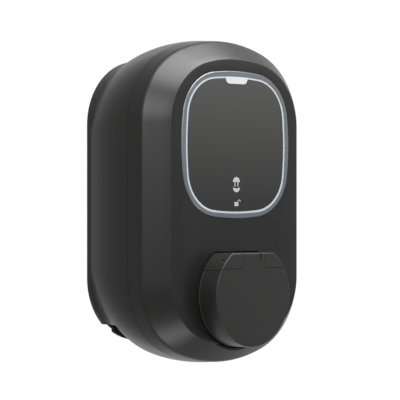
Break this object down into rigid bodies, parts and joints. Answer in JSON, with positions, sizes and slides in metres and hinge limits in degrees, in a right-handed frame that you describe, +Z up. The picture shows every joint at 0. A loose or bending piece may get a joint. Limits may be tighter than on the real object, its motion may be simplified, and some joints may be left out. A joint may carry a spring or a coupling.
{
  "type": "wall-mounted electric car charging station",
  "caption": "Dark rounded wall box with a lit glass panel over a hinged socket flap, and a cable notch at its lower back edge.",
  "frame": {"origin": "centre of the four wall screws on the wall plane", "axes": "+X to the right seen from the front, +Y into the wall, +Z up"},
  "size_m": [0.1904, 0.1106, 0.2776],
  "materials": {
    "cover": "satin",
    "housing": "fine texture",
    "plate": "matt",
    "bezel": "frosted",
    "light": "frosted, lit from behind",
    "glass": "dark gloss",
    "badge": "satin",
    "rubber": "matt",
    "steel": "zinc plated",
    "contact": "silver plated",
    "board": "green solder mask",
    "module": "moulded",
    "pale_module": "moulded",
    "can": "tinned",
    "lead": "insulated wire",
    "ribbon": "flat cable"
  },
  "bodies": {
    "station": {"rear_housing": "housing", "wall_plate": "plate", "locking_screw": "steel", "supply_grommet": "rubber", "data_grommet": "rubber", "cover_gasket": "rubber", "front_cover": "cover", "cover_screws": "steel", "light_ring": "bezel", "light_line": "light", "touch_glass": "glass", "badge_tab": "badge", "led_board": "board", "light_board_screws": "steel", "hinge_base": "cover", "socket_seal": "rubber", "socket_housing": "module", "socket_screws": "steel", "contact_block": "module", "power_contacts": "contact", "pilot_contacts": "contact", "lock_actuator": "module", "hinge_pin": "steel", "flap_spring": "steel", "power_board": "board", "control_board": "board", "standoffs": "steel", "board_screws": "steel", "relays": "module", "current_sensor": "module", "power_supply": "module", "meter_module": "pale_module", "radio_module": "can", "terminal_block": "pale_module", "supply_leads": "lead", "power_leads": "lead", "signal_leads": "lead", "panel_ribbon": "ribbon"},
    "flap": {"flap": "cover", "flap_seal": "rubber"},
    "lock_pin": {"lock_pin": "steel"}
  },
  "joints": [
    {"name": "flap_hinge", "type": "hinge", "parent": "station", "child": "flap", "pos_m": [0, -0.10635, -0.04955], "axis": [-1, 0, 0], "range_deg": [0, 110], "stiffness_Nm_per_rad": 0.012, "springref_deg": -68.75},
    {"name": "lock_slide", "type": "slide", "parent": "station", "child": "lock_pin", "axis": [0, 0, -1], "range_m": [0, 0.004]}
  ]
}
